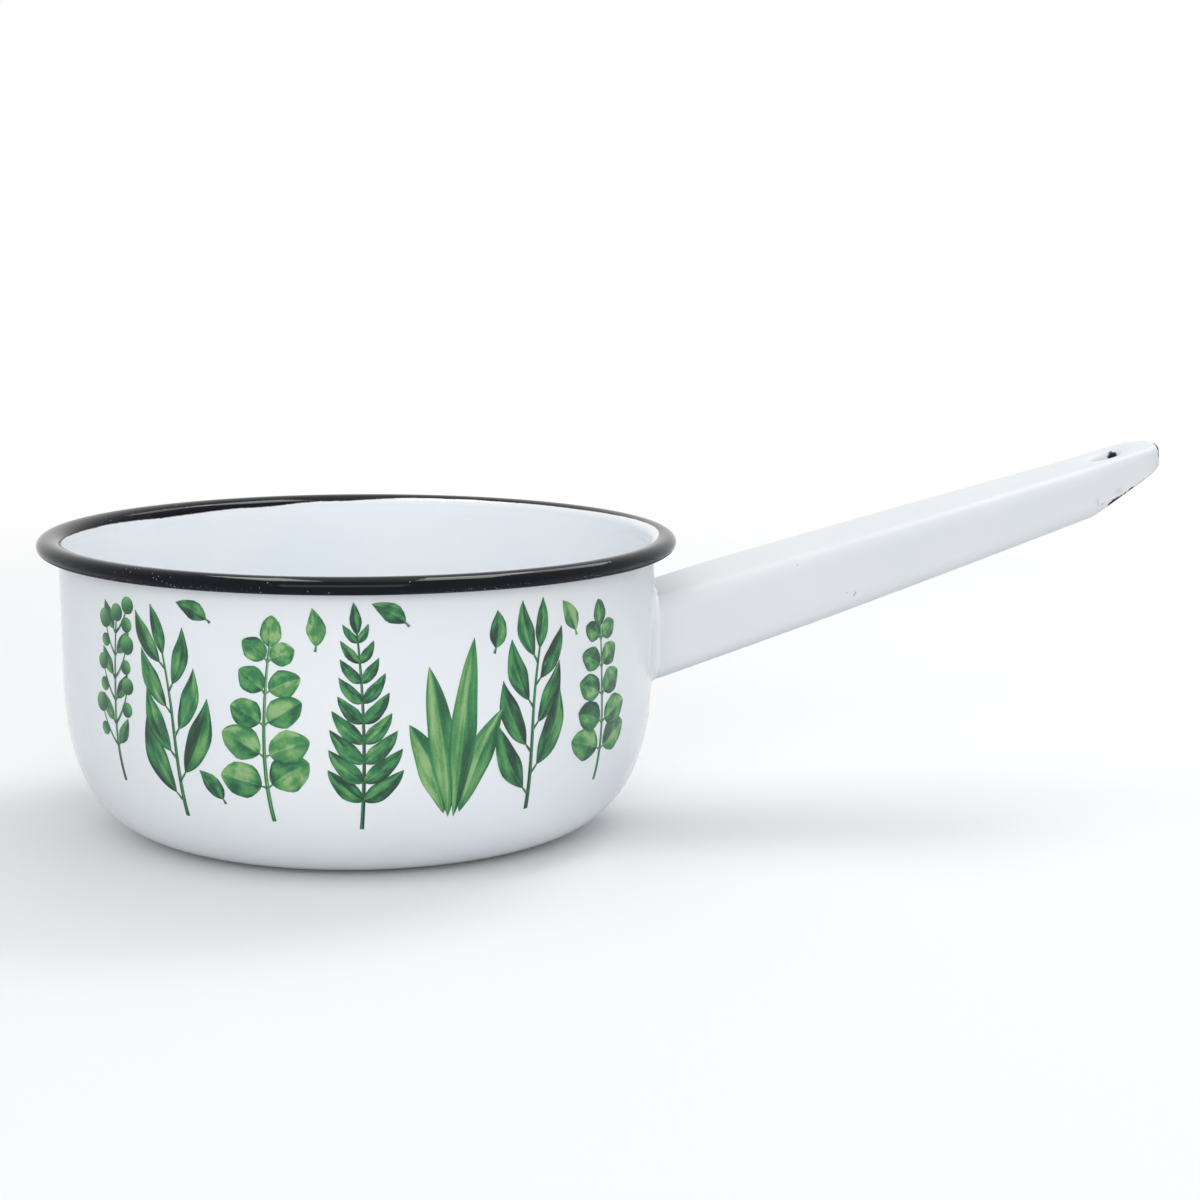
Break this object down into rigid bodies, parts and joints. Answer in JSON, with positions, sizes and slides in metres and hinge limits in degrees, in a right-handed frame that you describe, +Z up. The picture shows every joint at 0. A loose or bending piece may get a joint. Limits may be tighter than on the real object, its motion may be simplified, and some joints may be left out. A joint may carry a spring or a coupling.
{
  "type": "enamel saucepan",
  "caption": "Small round saucepan of white enamelled steel with a rolled black rim and a rising folded sheet handle that ends in a hang hole.",
  "frame": {"origin": "centre of the underside of the flat base, on the bowl's axis", "axes": "+Z up along the bowl's axis, +X along the handle, from the bowl towards the hang hole"},
  "size_m": [0.3132, 0.172, 0.1012],
  "materials": {
    "white_enamel": "glossy white vitreous enamel on steel sheet",
    "black_enamel": "glossy black vitreous enamel on steel sheet"
  },
  "bodies": {
    "root": {"bowl": "white_enamel", "rim_bead": "black_enamel", "handle_shell": "white_enamel", "handle_weld": "white_enamel"}
  },
  "joints": []
}
